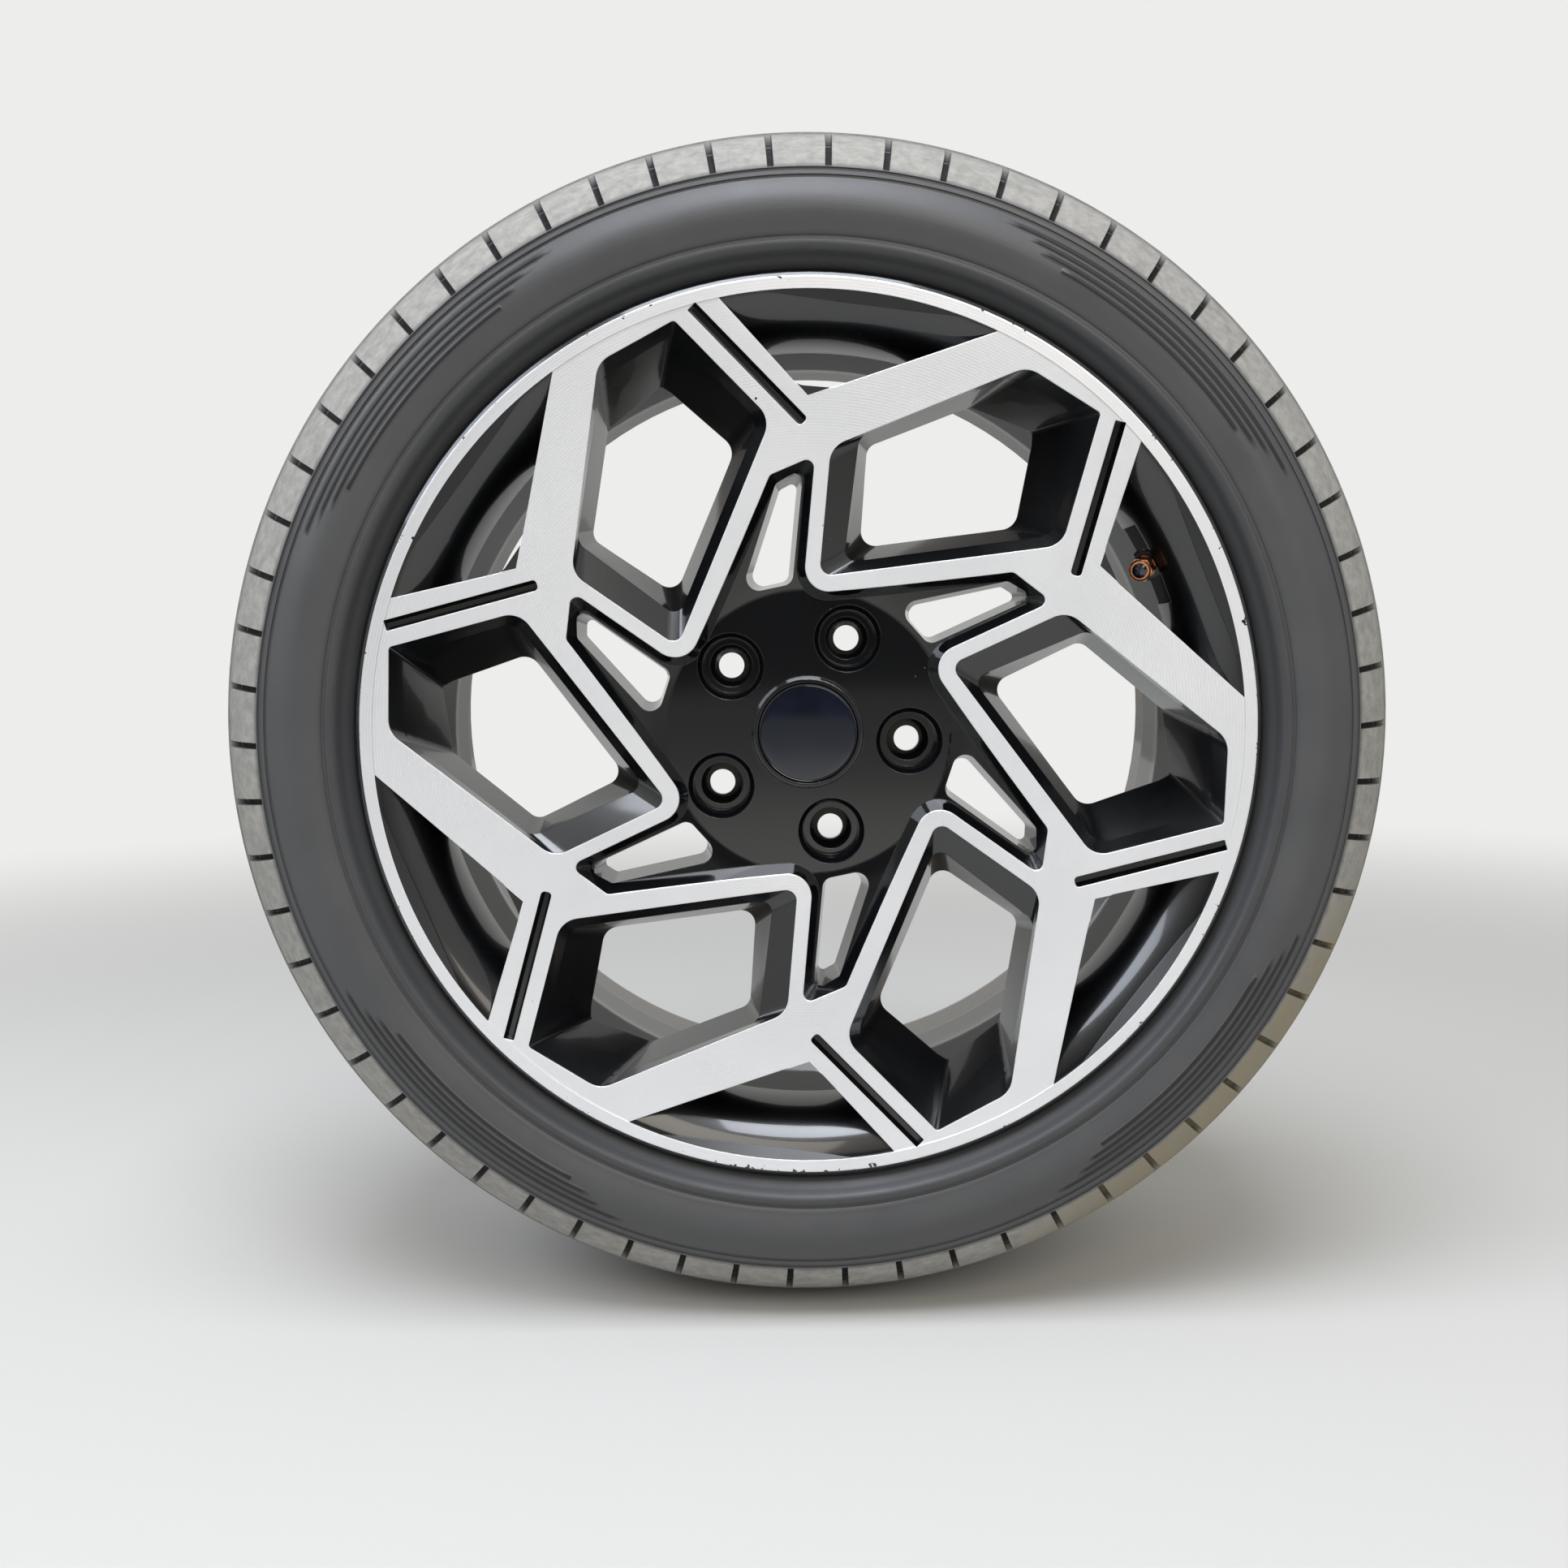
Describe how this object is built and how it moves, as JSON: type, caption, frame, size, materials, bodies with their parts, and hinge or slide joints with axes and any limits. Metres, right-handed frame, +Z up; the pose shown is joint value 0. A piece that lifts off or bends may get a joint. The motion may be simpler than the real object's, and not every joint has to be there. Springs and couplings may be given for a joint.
{
  "type": "alloy wheel",
  "caption": "Two-tone alloy road wheel with a machined swirl-spoke face, hub bore and bolt circle, fitted with a low-profile tyre, centre cap and pressure-sensor valve.",
  "frame": {"origin": "centre of the wheel, on its axis midway between the tyre's sides", "axes": "+Z up, +Y along the wheel's axis toward the car, the styled face looks toward -Y"},
  "size_m": [0.6685, 0.23, 0.6686],
  "materials": {
    "wheel_alloy": "gloss black paint with a machined bright face",
    "tyre_rubber": "matt moulded rubber",
    "black_gloss_plastic": "gloss",
    "spring_steel": "drawn wire",
    "valve_metal": "nickel plated brass",
    "valve_brass": "turned",
    "valve_copper": "copper coloured anodised metal",
    "seal_rubber": "moulded",
    "sensor_plastic": "moulded"
  },
  "bodies": {
    "wheel": {"alloy_wheel": "wheel_alloy", "tyre": "tyre_rubber", "centre_cap": "black_gloss_plastic", "centre_cap_disc": "black_gloss_plastic", "centre_cap_spring": "spring_steel", "valve_stem": "valve_metal", "valve_grommet": "seal_rubber", "valve_washer": "valve_metal", "valve_nut": "valve_metal", "valve_core": "valve_brass", "pressure_sensor": "sensor_plastic", "sensor_screw": "valve_metal"},
    "dust_cap": {"valve_cap": "valve_copper", "valve_cap_dome": "black_gloss_plastic", "valve_cap_seal": "seal_rubber"},
    "core_pin": {"valve_pin": "valve_brass"}
  },
  "joints": [
    {"name": "dust_cap_off", "type": "slide", "parent": "wheel", "child": "dust_cap", "axis": [-0.3671, -0.9135, -0.1751], "range_m": [0, 0.03]},
    {"name": "core_pin_press", "type": "slide", "parent": "wheel", "child": "core_pin", "axis": [0.3671, 0.9135, 0.1751], "range_m": [0, 0.0015], "stiffness_N_per_m": 600}
  ]
}
